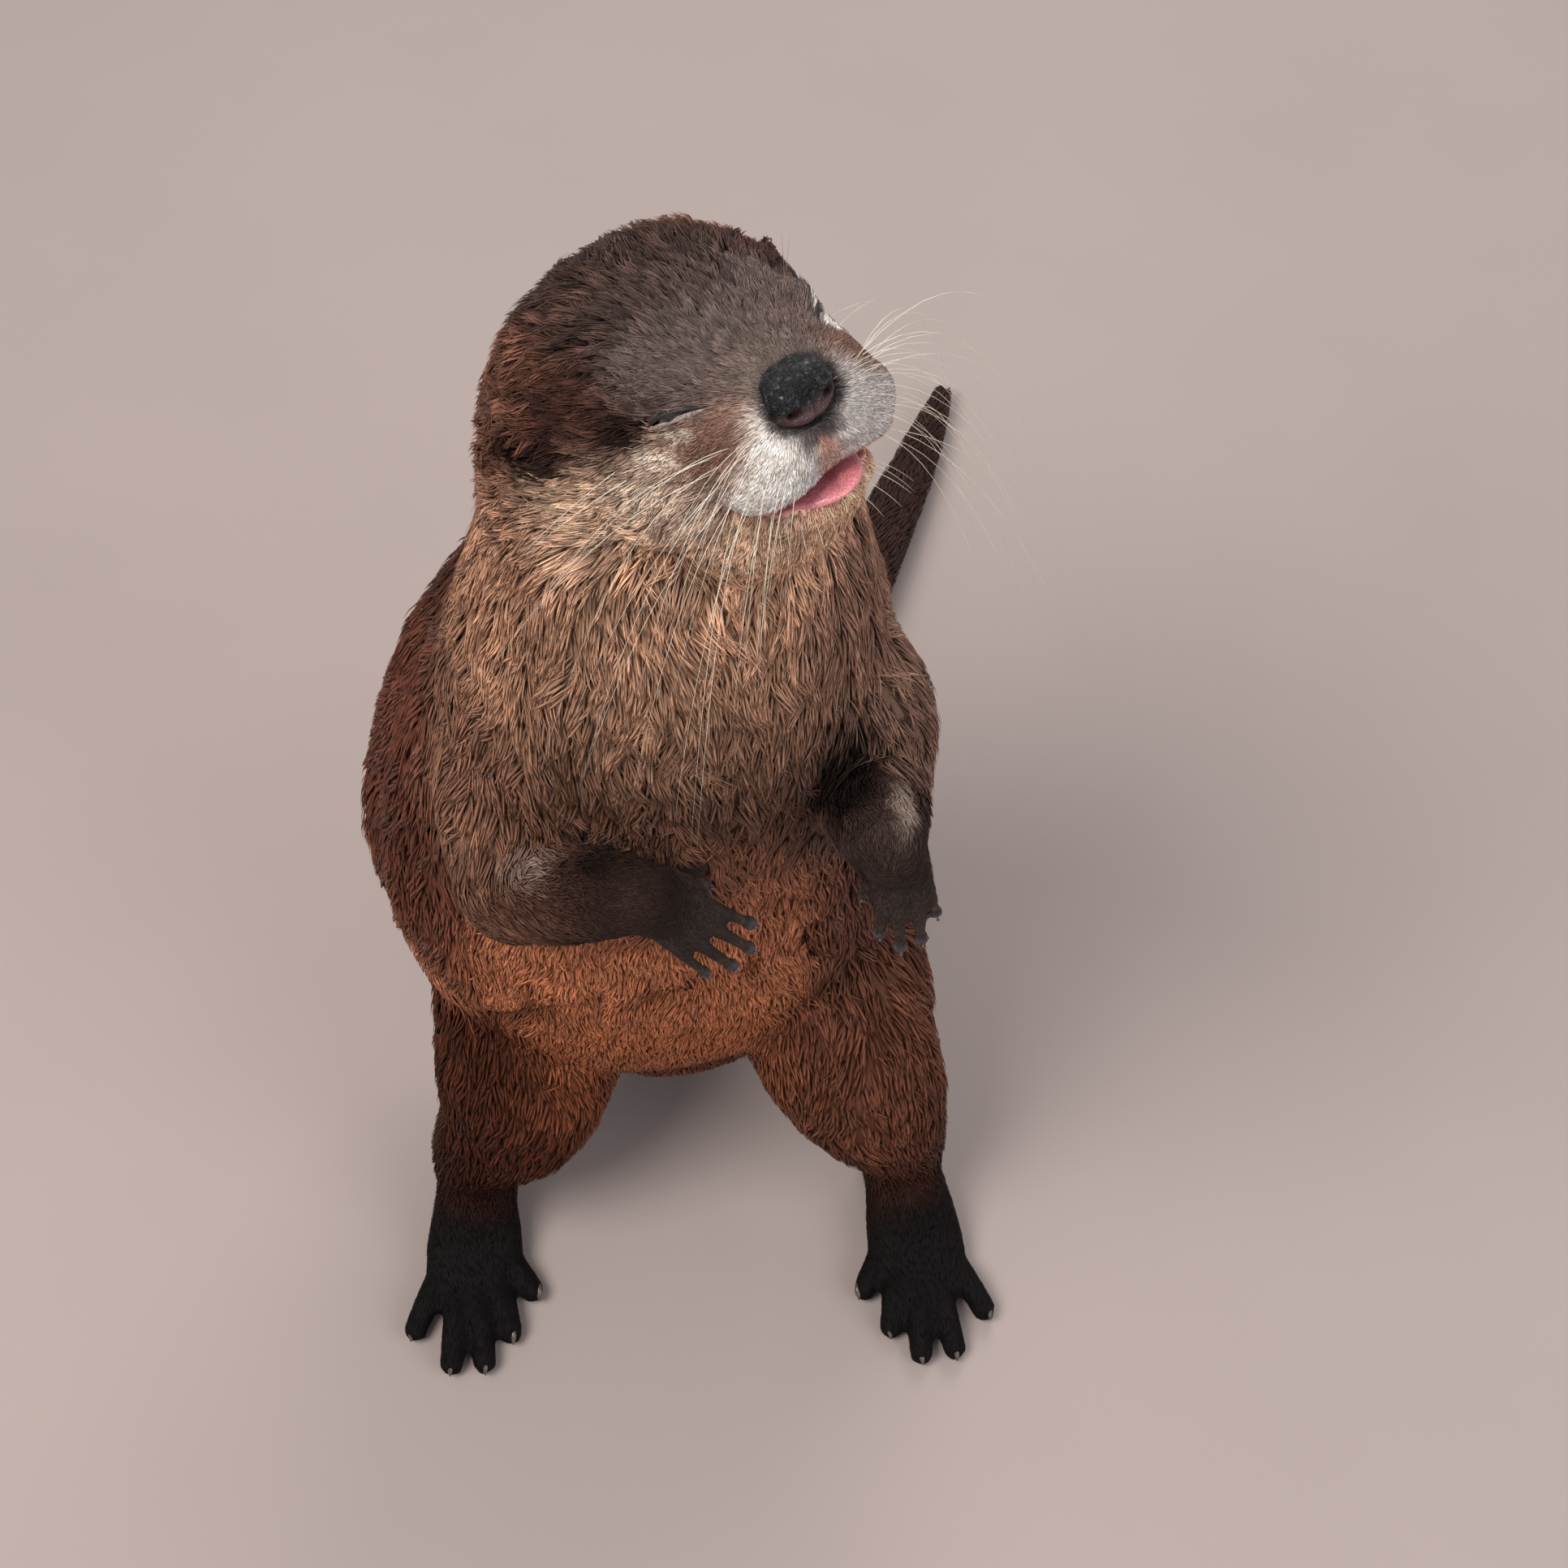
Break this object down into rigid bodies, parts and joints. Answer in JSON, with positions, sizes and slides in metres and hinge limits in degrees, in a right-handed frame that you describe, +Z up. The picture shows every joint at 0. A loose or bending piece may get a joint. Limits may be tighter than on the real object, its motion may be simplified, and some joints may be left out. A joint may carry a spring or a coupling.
{
  "type": "standing otter",
  "caption": "Life-size small-clawed otter, standing upright on its hind feet and tail with its forepaws held in front and its head turned up and to its left.",
  "frame": {"origin": "on the floor, under the middle of the whole model's box", "axes": "+Z up; -Y the way the belly and feet face; +X the animal's left; the tail runs back along +Y"},
  "size_m": [0.2072, 0.4558, 0.4329],
  "materials": {
    "coat": "brown fur, short and dense",
    "back_coat": "dark brown fur",
    "chest_coat": "tan fur in damp locks",
    "head_coat": "grey-brown fur, very short on the face",
    "chin_coat": "pale tan fur",
    "paw": "dark bare skin with thin fur",
    "nose": "damp pebbled black skin",
    "tongue": "wet pink",
    "eye": "glossy black"
  },
  "bodies": {
    "root": {"head": "head_coat", "jaw": "chin_coat", "tongue": "tongue", "nose": "nose", "eye_right": "eye", "eye_left": "eye", "ear_right": "back_coat", "ear_left": "back_coat", "neck": "chest_coat", "chest": "chest_coat", "belly": "coat", "upper_arm_right": "coat", "upper_arm_left": "coat", "forearm_right": "coat", "forearm_left": "coat", "forepaw_right": "paw", "forepaw_left": "paw", "thigh_right": "coat", "thigh_left": "coat", "shank_right": "coat", "shank_left": "coat", "hind_foot_right": "paw", "hind_foot_left": "paw", "tail_root": "back_coat", "tail_middle": "back_coat", "tail_end": "back_coat"}
  },
  "joints": []
}
